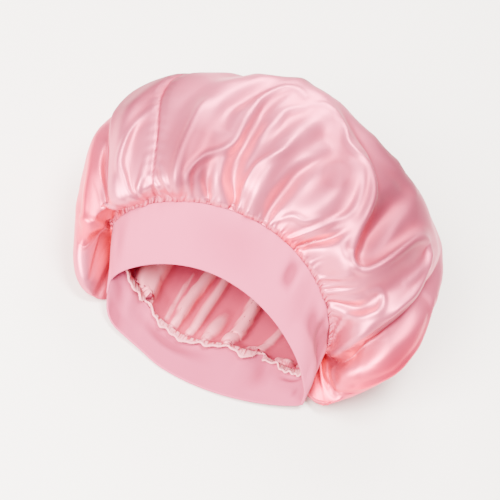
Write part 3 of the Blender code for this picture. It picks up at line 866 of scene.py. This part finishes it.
def area_share(areas, turns, alongs):
    """From 0 to 1 in the middle of each area."""
    total = np.zeros((len(alongs), len(turns)))
    for area in areas:
        total = np.maximum(total, near_place(area, turns, alongs))
    return total


def even_turns(count):
    """Angles all the way round, in radians."""
    return np.arange(count) * 2 * math.pi / count


def round_edge(centre, side, way, angles):
    """Loops of a rounded edge, from one side of the cloth over its way out to the other."""
    return [centre + side * math.cos(angle) + way * math.sin(angle) for angle in angles]


# ---------------------------------------------------------------- mesh helpers
def place(points):
    """From the drawing, in millimetres, to the bonnet's own frame, in metres."""
    return (np.asarray(points, float) - DRAWING_CENTRE) * MM


def ring_faces(rows, columns, start=0, flip=False, closed=False):
    """Quads of a grid that is closed around its columns, and around its rows if asked."""
    faces = []
    for r in range(rows if closed else rows - 1):
        above = ((r + 1) % rows) * columns + start
        below = r * columns + start
        for c in range(columns):
            d = (c + 1) % columns
            face = (below + c, below + d, above + d, above + c)
            faces.append(face[::-1] if flip else face)
    return faces


def grid_uv(turns, across):
    """One UV for each point of a grid: the share of a turn, and the place across."""
    u, v = np.meshgrid(turns / (2 * math.pi), across)
    return np.stack([u, v], axis=-1)


def link_object(name, data):
    """An object in the scene that holds the data."""
    made = bpy.data.objects.new(name, data)
    bpy.context.scene.collection.objects.link(made)
    return made


def new_mesh_object(name, points, faces, material, attributes, uv):
    """An object at the origin whose place is in its mesh, in metres."""
    mesh = bpy.data.meshes.new(name)
    mesh.from_pydata(place(points).tolist(), [], faces)
    mesh.materials.append(material)
    for title, values in attributes.items():
        layer = mesh.attributes.new(title, "FLOAT", "POINT")
        layer.data.foreach_set("value", np.asarray(values, np.float32).ravel())
    corners = np.zeros(len(mesh.loops), np.int64)
    mesh.loops.foreach_get("vertex_index", corners)
    layer = mesh.uv_layers.new(name=UV_NAME)
    layer.data.foreach_set("uv", uv_of_corners(mesh, corners, uv.reshape(-1, 2)).ravel())
    mesh.shade_smooth()
    mesh.validate()
    return link_object(name, mesh)


def uv_of_corners(mesh, corners, uv):
    """UVs for each corner, with the last column's faces carried past 1 instead of back."""
    values = np.asarray(uv, np.float32)[corners]
    totals = np.zeros(len(mesh.polygons), np.int64)
    mesh.polygons.foreach_get("loop_total", totals)
    owner = np.repeat(np.arange(len(totals)), totals)
    widest = np.zeros(len(totals), np.float32)
    np.maximum.at(widest, owner, values[:, 0])
    wrapped = (widest[owner] > 0.75) & (values[:, 0] < 0.25)
    values[wrapped, 0] += 1.0
    return values


# ---------------------------------------------------------------- materials
def satin_material(satin):
    """Glossy satin: fine weave, painted shade in the folds, pinches and turned-away areas, coral
    where light comes through.
    """
    material, nodes, shader = new_material("glossy satin", {"Specular IOR Level": 0.35})
    valley, glow, inside = (nodes.attribute(name) for name in ("valley", "glow", "inside"))
    # Painted shade: the shade areas darken the colour, and also make the gloss rougher.
    shade = (nodes.attribute("shade") * 1.5).clamped()
    cloud = nodes.noise(22.0, 3.0)
    threads = nodes.waves("X", 420.0, 190.0, 0.6, 1.0)
    gather = nodes.noise(1.0, 1.0, nodes.cloth(270.0, 7.0))
    along = nodes.make("ShaderNodeSeparateXYZ", {0: nodes.cloth()}, output="Y")
    close = (1 - along / (0.036 + inside * 0.024)).clamped()
    # Painted shade: pinch makes dark slits between the small gathers near the seam; stitched marks
    # the panel seam's dark stitch line.
    pinch = ((gather - 0.49) * 8).clamped() * close * (1 - inside * 0.4)
    stitched = nodes.attribute("seam") * 0.85
    # Painted shade: depth, from the valley mask and a little random tone, darkens the folds, the
    # gathers and the gaps between the inner pleats.
    depth = (valley * (1.5 + inside * 0.4) - 0.25 + (cloud - 0.5) * 0.2).clamped()
    outer = nodes.mix(glow, satin.colour, satin.glow_colour)
    outer = nodes.mix(shade, outer, satin.shade_colour)
    lit = nodes.mix(inside, outer, satin.lining_colour)
    folded = nodes.mix(depth, lit, satin.fold_shade_colour)
    pinched = nodes.mix((pinch + stitched).clamped(), folded, satin.pinch_shade_and_seam_colour)
    nodes.feed(shader.inputs["Base Color"], pinched)
    nodes.feed(shader.inputs["Metallic"], satin.metallic + glow * 0.1 - inside * 0.55)
    nodes.feed(shader.inputs["Roughness"], satin.roughness + (cloud - 0.5) * 0.06
               + threads * 0.03 + inside * 0.2 + shade * 0.11)
    nodes.relief(shader, ((0.8, 0.0020, (0.5 - gather) * close), (0.06, 0.0002, threads)))
    return material


def knit_material(knit):
    """Matte stretch knit with fine ribs along the band and a soft bloom, and shade painted into its
    folds, dents and inner side.
    """
    material, nodes, shader = new_material("matte knit", {
        "Metallic": 0.0, "Roughness": 0.9, "Specular IOR Level": 0.2,
        "Sheen Weight": 0.08, "Sheen Roughness": 0.5})
    ribs = nodes.waves("X", BAND_LENGTH / knit.rib_pitch / STRIPES_FOR_A_UNIT, 20.0, 0.3, 0.0)
    rows = nodes.waves("Y", 20.0, 46.0, 0.3, 0.0)
    cloud = nodes.noise(30.0, 4.0)
    fuzz = nodes.noise(900.0, 2.0)
    # Painted shade: the valley mask darkens the knit in its folds and dents and on its inner side;
    # the ribs and a cloudy noise add a little tone.
    shade = (nodes.attribute("valley") * 0.9 - 0.24 + (cloud - 0.5) * 0.12
             + (1 - ribs) * 0.08).clamped()
    painted_fold_shade = deeper(knit.colour, (0.40, 0.18, 0.25))
    nodes.feed(shader.inputs["Base Color"], nodes.mix(shade, knit.colour, painted_fold_shade))
    nodes.relief(shader, ((0.25, 0.0003, ribs * 0.6 + rows * 0.25 + fuzz * 0.4),))
    return material


def overlock_material(seam, name="overlocked edge", roughness=0.6):
    """Thread-covered cloth edge: fine slanting threads, painted shade in dark streaks between its
    gathers, and a paler tip.
    """
    material, nodes, shader = new_material(name, {"Metallic": 0.0, "Specular IOR Level": 0.3})
    threads = nodes.waves("DIAGONAL", 160.0, 6.0, 1.0, 1.0)
    cloud = nodes.noise(160.0, 3.0)
    comb = nodes.noise(1.0, 1.0, nodes.cloth(330.0, 1.5))
    foot = nodes.attribute("valley")
    # Painted shade: dark streaks between the allowance's gathers, away from its tip; the colour is
    # also darker towards the foot and varies with the threads and at random.
    streaks = ((comb - 0.47) * 7).clamped() * (foot * 3).clamped()
    shade = (foot * 0.2 + (cloud - 0.5) * 0.2 + (1 - threads) * 0.08 + streaks * 0.9).clamped()
    shade_and_tone_colour = deeper(seam.colour, (0.52, 0.12, 0.19))
    nodes.feed(shader.inputs["Base Color"], nodes.mix(shade, seam.colour, shade_and_tone_colour))
    nodes.feed(shader.inputs["Roughness"], roughness + (cloud - 0.5) * 0.2)
    nodes.relief(shader, ((0.4, 0.0003, threads),))
    return material


# ---------------------------------------------------------------- pieces
def make_crown(satin):
    """The gathered satin, outer and inner side, open at the seam."""
    rows, columns = CROWN_GRID
    half = columns // 2
    turns = even_turns(columns)
    alongs = np.linspace(0.0, 1.0, rows + 1)[:-1] ** CROWN_CROWDING
    outer, pleats = crown_surface(turns, alongs, satin)
    band = band_middle(turns, (0.0, 1.0))
    rim_out = outward_of(band)[1]
    wall = satin.wall / MM
    outer[0] = band[1] + rim_out * SOLID_SATIN_WALL / 2
    inner = (outer - outward_of(blurred(outer, 2)) * wall)[::2, ::2]
    inner[:, :, 2] = np.maximum(inner[:, :, 2], wall)
    inner[0] = (band[1] - rim_out * (wall - SOLID_SATIN_WALL / 2))[::2]
    tips = np.array([APEX, np.array(APEX) - (0, wall, 0)], float)
    points = np.concatenate([outer.reshape(-1, 3), inner.reshape(-1, 3), tips])

    first_inner = rows * columns
    faces = ring_faces(rows, columns, flip=True)
    faces += ring_faces(len(inner), half, start=first_inner)
    for i in range(half):
        j = (i + 1) % half
        a, b, c = 2 * i, 2 * i + 1, (2 * i + 2) % columns
        faces += [(first_inner + i, a, b), (first_inner + i, b, first_inner + j),
                  (first_inner + j, b, c)]
    tip_out, tip_in = len(points) - 2, len(points) - 1
    last = first_inner - columns
    last_inner = tip_out - half
    faces += [(last + i, tip_out, last + (i + 1) % columns) for i in range(columns)]
    faces += [(last_inner + i, last_inner + (i + 1) % half, tip_in) for i in range(half)]

    def on_points(outside, within, at_tips):
        """A number for each outer point, each inner point and the two tips."""
        return np.concatenate([outside.ravel(), within[::2, ::2].ravel(), at_tips])

    valley = valley_depth(outer, steps=14, scale=1.6)
    glow = area_share(GLOWS, turns, alongs)
    none = np.zeros_like(glow)
    stitched = bump(panel_seam_distance(outer, turns, alongs)[0] / STITCH_REACH)
    attributes = {
        # Painted shade: darker in the folds outside and between the pleats inside.
        "valley": on_points(valley, np.clip(1.0 - valley - 0.75 * pleats, 0.0, 1.0), [0.3, 0.5]),
        "glow": on_points(glow, glow * 0.5, [0, 0]),
        # Painted shade over the areas that turn away from the lights.
        "shade": on_points(area_share(SHADES, turns, alongs), none, [0, 0]),
        "seam": on_points(stitched, none, [0, 0]),
        "inside": on_points(none, np.ones_like(none), [0, 1]),
    }
    uv = grid_uv(turns, alongs)
    uv = np.concatenate([uv.reshape(-1, 2), uv[::2, ::2].reshape(-1, 2), [[0.5, 1.0]] * 2])
    return new_mesh_object("satin_crown", points, faces, satin_material(satin), attributes, uv)


def dent_depth(turns, shares):
    """How far the band's cloth is pressed in at each share and turn, in mm."""
    depth = np.zeros((len(shares), len(turns)))
    for dent in DENTS:
        depth += dent.depth * near_place(dent, turns, shares)
    return depth


def make_headband(knit):
    """The folded knit band with a round free edge and soft dents."""
    rows, columns = BAND_GRID
    turns = even_turns(columns)
    width = np.linalg.norm(np.diff(band_middle(turns, (0.0, 1.0)), axis=0)[0], axis=1).mean()
    wall = knit.wall / MM
    shares = np.linspace(wall / 2 / width, 1.0 - SEAM_GAP / width, rows)
    middle = band_middle(turns, shares)
    calm = np.sin(np.clip(shares, 0, 1) * math.pi)[:, None] ** 0.6
    soft = ripples(middle, *BAND_WAVES) * BAND_WAVE_HEIGHT * calm
    pull = np.cos(turns * 38 + 2 * np.sin(turns * 5)) * PULL_HEIGHT * shares[:, None] ** 6
    dents = dent_depth(turns, shares)
    middle = middle + (soft - dents + pull)[:, :, None] * outward_of(middle)
    half = outward_of(middle) * wall / 2
    edge = round_edge(middle[0], half[0], unit(middle[0] - middle[1]) * wall / 2,
                      np.linspace(0, math.pi, EDGE_ROWS + 2)[1:-1])
    grid = np.concatenate([(middle + half)[::-1], edge, middle - half])
    grid[:, :, 2] = np.maximum(grid[:, :, 2], 0.0)
    faces = ring_faces(len(grid), columns, closed=True)
    # Painted shade: the valley mask darkens the band in its folds and dents, and a little all over
    # its inner side.
    valley = np.full(grid.shape[:2], 0.25)
    sheet = valley_depth(middle, steps=10, scale=0.8)
    valley[:rows] = np.clip(sheet + 0.30 * np.maximum(dents, 0.0), 0.0, 1.0)[::-1]
    valley[-rows:] = np.clip(0.74 - sheet + 0.30 * np.maximum(-dents, 0.0), 0.0, 1.0)
    return new_mesh_object("knit_band", grid.reshape(-1, 3), faces, knit_material(knit),
                           {"valley": valley}, grid_uv(turns, np.linspace(0, 2, len(grid))))


def waves_around(turns, rows):
    """The sum of some waves around the opening."""
    return sum(share * np.sin(turns * waves + start) for waves, start, share in rows)


def edge_line(turns, seam):
    """The allowance's foot, its ways in and along the band, its sway, height and lean."""
    cloth = band_middle(turns, (0.0, 1.0))
    band_way = unit(cloth[0] - cloth[1])
    sway = waves_around(turns, SWAYS) * seam.wave / MM
    height = seam.height / MM * (1 + waves_around(turns, HEIGHT_WAVES))
    for turn, reach, share, steepness in LIFTS:
        height = height * (1 + share * np.minimum(steepness * near_turn(turns, turn, reach), 1.0))
    sway = sway * (1 - 0.8 * near_turn(turns, *CALM_CORNER))
    nape = np.minimum(NAPE_STEEPNESS * near_turn(turns, *NAPE_PART), 1.0)
    lean = np.radians(ALLOWANCE_LEAN + (NAPE_LEAN - ALLOWANCE_LEAN) * nape)
    return cloth[1], -outward_of(cloth)[1], band_way, sway, height, lean


def make_seam_ruffle(seam):
    """The overlocked seam allowance that stands up inside, and its thread."""
    rows, columns = ALLOWANCE_GRID
    turns = even_turns(columns)
    foot_line, inward, band_way, sway, height, lean = edge_line(turns, seam)
    foot = SOLID_BAND_WALL / 2 + SOLID_SEAM_GAP
    flat_way = band_way * np.cos(lean)[:, None] - inward * np.sin(lean)[:, None]
    comb = np.sin(turns * 178 + 3 * np.sin(turns * 7)) * 0.4
    sheet = []
    for share in np.linspace(0.0, 1.0, rows):
        lift = (foot + height * share * np.cos(lean))[:, None]
        onward = (sway * share**1.2 + height * share * np.sin(lean))[:, None]
        gathered = (comb * math.sin(math.pi * min(share * 1.15, 1.0)))[:, None]
        sheet.append(foot_line + inward * lift + band_way * onward + flat_way * gathered)
    sheet = np.array(sheet)
    around = unit(np.roll(sheet, -1, axis=1) - np.roll(sheet, 1, axis=1))
    half = unit(np.cross(around, np.gradient(sheet, axis=0))) * ALLOWANCE_WALL / 2
    tip_way = unit(sheet[-1] - sheet[-2])
    bead = round_edge(sheet[-1], half[-1] * BEAD_WIDTH, tip_way * BEAD_HEIGHT,
                      np.linspace(0, math.pi, BEAD_ROWS))
    grid = np.concatenate([(sheet + half)[:-1], bead, (sheet - half)[-2::-1]])
    faces = ring_faces(len(grid), columns, closed=True)
    fade = np.linspace(1, 0, rows - 1)
    foot_share = np.concatenate([fade, np.zeros(BEAD_ROWS), fade[::-1]])
    cloth = new_mesh_object("seam_allowance", grid.reshape(-1, 3), faces,
                            overlock_material(seam),
                            {"valley": np.repeat(foot_share[:, None], columns, axis=1)},
                            grid_uv(turns, np.linspace(0, 1, len(grid))))
    return cloth, make_overlock_threads(seam, sheet[-1], tip_way)


def overlock_tree(material):
    """Geometry nodes: a flat loop of thread at every point, turned to the cloth's edge."""
    tree = bpy.data.node_groups.new("overlock stitches", "GeometryNodeTree")
    sockets = tree.interface
    for in_out in ("OUTPUT", "INPUT"):
        sockets.new_socket("Geometry", in_out=in_out, socket_type="NodeSocketGeometry")
    inputs = {name: sockets.new_socket(name, in_out="INPUT", socket_type="NodeSocketFloat")
              .identifier for name in ("Thread radius", "Loop height", "Loop width")}
    nodes = Nodes(tree)
    given = tree.nodes.new("NodeGroupInput").outputs
    leave = tree.nodes.new("NodeGroupOutput")
    ring = nodes.make("GeometryNodeCurvePrimitiveCircle", {
        "Resolution": LOOP_POINTS, "Radius": 0.5})
    size = nodes.make("ShaderNodeCombineXYZ", {
        "X": given["Loop width"], "Y": given["Loop height"], "Z": 1.0})
    flat = nodes.make("GeometryNodeTransform", {"Geometry": ring, "Scale": size})
    thread = nodes.make("GeometryNodeCurvePrimitiveCircle", {
        "Resolution": THREAD_POINTS, "Radius": given["Thread radius"]})
    loop = nodes.make("GeometryNodeCurveToMesh", {"Curve": flat, "Profile Curve": thread})
    across, upward = (nodes.make("GeometryNodeInputNamedAttribute", {"Name": name},
                                 data_type="FLOAT_VECTOR") for name in ("across", "upward"))
    turned = nodes.make("FunctionNodeAlignRotationToVector", {"Vector": across}, axis="X")
    turned = nodes.make("FunctionNodeAlignRotationToVector",
                        {"Rotation": turned, "Vector": upward}, axis="Y", pivot_axis="X")
    shrink = nodes.make("FunctionNodeRandomValue", {
        2: LOOP_SIZES[0], 3: LOOP_SIZES[1], "Seed": LOOP_SEED}, output=1, data_type="FLOAT")
    made = nodes.make("GeometryNodeInstanceOnPoints", {
        "Points": given["Geometry"], "Instance": loop, "Rotation": turned, "Scale": shrink})
    made = nodes.make("GeometryNodeRealizeInstances", {"Geometry": made})
    made = nodes.make("GeometryNodeSetShadeSmooth", {"Geometry": made})
    made = nodes.make("GeometryNodeSetMaterial", {"Geometry": made, "Material": material})
    nodes.feed(leave.inputs[0], made)
    return tree, inputs


def make_overlock_threads(seam, tip, tip_way):
    """Loops of thread wrapped around the allowance's tip, made by geometry nodes."""
    tip, tip_way = (np.vstack([line, line[:1]]) for line in (tip, tip_way))
    run = run_along(tip)
    at = np.linspace(0, run[-1], seam.stitches, endpoint=False)
    points, upward = (np.stack([np.interp(at, run, line[:, k]) for k in range(3)], axis=1)
                      for line in (tip, tip_way))
    upward = unit(upward)
    tangent = unit(np.roll(points, -1, axis=0) - np.roll(points, 1, axis=0))
    slant = unit(np.cross(tangent, upward) + LOOP_SLANT * tangent)
    mesh = bpy.data.meshes.new("overlock_points")
    mesh.from_pydata(place(points - upward * LOOP_INSET).tolist(), [], [])
    for title, values in (("across", slant), ("upward", upward)):
        layer = mesh.attributes.new(title, "FLOAT_VECTOR", "POINT")
        layer.data.foreach_set("vector", values.astype(np.float32).ravel())
    holder = link_object("overlock_points", mesh)
    material = overlock_material(seam, "overlock thread", 0.45)
    tree, inputs = overlock_tree(material)
    stitcher = holder.modifiers.new("stitches", "NODES")
    stitcher.node_group = tree
    stitcher[inputs["Thread radius"]] = seam.thread
    stitcher[inputs["Loop height"]] = LOOP_HEIGHT * MM
    stitcher[inputs["Loop width"]] = LOOP_WIDTH * MM
    holder.update_tag()
    bpy.context.view_layer.update()
    evaluated = holder.evaluated_get(bpy.context.evaluated_depsgraph_get())
    plain = bpy.data.meshes.new_from_object(evaluated)
    if not len(plain.polygons):
        raise RuntimeError("the overlock stitches came out empty")
    if not plain.materials:
        plain.materials.append(material)
    if not plain.uv_layers:
        plain.uv_layers.new(name=UV_NAME)
    bpy.data.objects.remove(holder, do_unlink=True)
    return link_object("overlock_thread", plain)


# ---------------------------------------------------------------- stage
def make_stage(stage):
    """The floor, the lights and the camera, which looks from where the photo was taken."""
    mesh = bpy.data.meshes.new("floor")
    corners = [(x * FLOOR_REACH, y * FLOOR_REACH, 0)
               for x, y in ((-1, -1), (1, -1), (1, 1), (-1, 1))]
    mesh.from_pydata(corners, [], [(0, 1, 2, 3)])
    material, nodes, shader = new_material("pale paper",
                                           {"Roughness": 0.95, "Specular IOR Level": 0.1})
    paler = tuple(min(1.0, c * 1.01) for c in stage.floor_colour)
    nodes.feed(shader.inputs["Base Color"],
               nodes.mix(nodes.noise(300.0, 2.0), stage.floor_colour, paler))
    mesh.materials.append(material)
    link_object("floor", mesh)

    world = bpy.data.worlds.new("studio")
    world.use_nodes = True
    background = world.node_tree.nodes["Background"]
    background.inputs["Color"].default_value = (*SURROUND_COLOUR, 1.0)
    background.inputs["Strength"].default_value = stage.fill
    bpy.context.scene.world = world

    for row in LAMPS:
        lamp = bpy.data.lights.new(row.name, "AREA")
        lamp.shape = "SQUARE"
        lamp.size = row.side
        lamp.energy = stage.key * row.share
        lamp.color = row.colour
        holder = link_object(row.name, lamp)
        holder.location = row.place
        way = Vector(LAMP_AIM) - Vector(row.place)
        holder.rotation_euler = way.to_track_quat("-Z", "Y").to_euler()

    camera = bpy.data.cameras.new("camera")
    camera.sensor_width = SENSOR_WIDTH
    camera.lens = stage.lens
    rise, roll = math.radians(CAMERA_RISE), math.radians(CAMERA_ROLL)
    back = Vector((0.0, -math.cos(rise), math.sin(rise)))
    right = Vector((1.0, 0.0, 0.0))
    up = back.cross(right)
    image_right = right * math.cos(roll) + up * math.sin(roll)
    image_up = up * math.cos(roll) - right * math.sin(roll)
    matrix = Matrix((image_right, image_up, back)).transposed().to_4x4()
    matrix.translation = Vector(CAMERA_AIM) + back * CAMERA_DISTANCE
    holder = link_object("camera", camera)
    holder.matrix_world = matrix
    bpy.context.scene.camera = holder


# ---------------------------------------------------------------- operators
class BONNET_OT_crown(bpy.types.Operator):
    """Make the gathered satin crown"""

    bl_idname = "bonnet.crown"
    bl_label = "Satin crown"

    def execute(self, context):
        crown = make_crown(context.scene.bonnet_satin)
        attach(crown, "root")
        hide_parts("crown")
        return {"FINISHED"}


class BONNET_OT_headband(bpy.types.Operator):
    """Make the folded knit band"""

    bl_idname = "bonnet.headband"
    bl_label = "Knit band"

    def execute(self, context):
        band = make_headband(context.scene.bonnet_knit)
        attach(band, "root")
        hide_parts("headband")
        return {"FINISHED"}


class BONNET_OT_seam(bpy.types.Operator):
    """Make the overlocked seam allowance and its stitches"""

    bl_idname = "bonnet.seam"
    bl_label = "Overlocked seam"

    def execute(self, context):
        cloth, threads = make_seam_ruffle(context.scene.bonnet_seam)
        for piece in (cloth, threads):
            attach(piece, "root")
        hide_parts("seam_ruffle")
        return {"FINISHED"}


class BONNET_OT_stage(bpy.types.Operator):
    """Make the floor, the lights and the camera"""

    bl_idname = "bonnet.stage"
    bl_label = "Studio"

    def execute(self, context):
        make_stage(context.scene.bonnet_stage)
        return {"FINISHED"}


class BONNET_PT_panel(bpy.types.Panel):
    """Lists the bonnet's settings and the operators that make it"""

    bl_idname = "BONNET_PT_panel"
    bl_label = "Sleep bonnet"
    bl_space_type = "VIEW_3D"
    bl_region_type = "UI"
    bl_category = "Bonnet"

    def draw(self, context):
        for settings, operator in zip(SETTINGS, OPERATORS):
            box = self.layout.box()
            group = getattr(context.scene, settings)
            for name in group.bl_rna.properties.keys():
                if name not in ("rna_type", "name"):
                    box.prop(group, name)
            box.operator(operator.bl_idname)


GROUPS = (BonnetSatin, BonnetKnit, BonnetSeam, BonnetStage)
SETTINGS = ("bonnet_satin", "bonnet_knit", "bonnet_seam", "bonnet_stage")
OPERATORS = (BONNET_OT_crown, BONNET_OT_headband, BONNET_OT_seam, BONNET_OT_stage)


def register():
    for made in GROUPS + OPERATORS + (BONNET_PT_panel,):
        bpy.utils.register_class(made)
    for settings, group in zip(SETTINGS, GROUPS):
        setattr(bpy.types.Scene, settings, PointerProperty(type=group))


def unregister():
    for settings in SETTINGS:
        delattr(bpy.types.Scene, settings)
    for made in reversed(GROUPS + OPERATORS + (BONNET_PT_panel,)):
        bpy.utils.unregister_class(made)


def main():
    register()
    bpy.ops.bonnet.crown()
    bpy.ops.bonnet.headband()
    bpy.ops.bonnet.seam()
    bpy.ops.bonnet.stage()


if __name__ == "__main__":
    main()
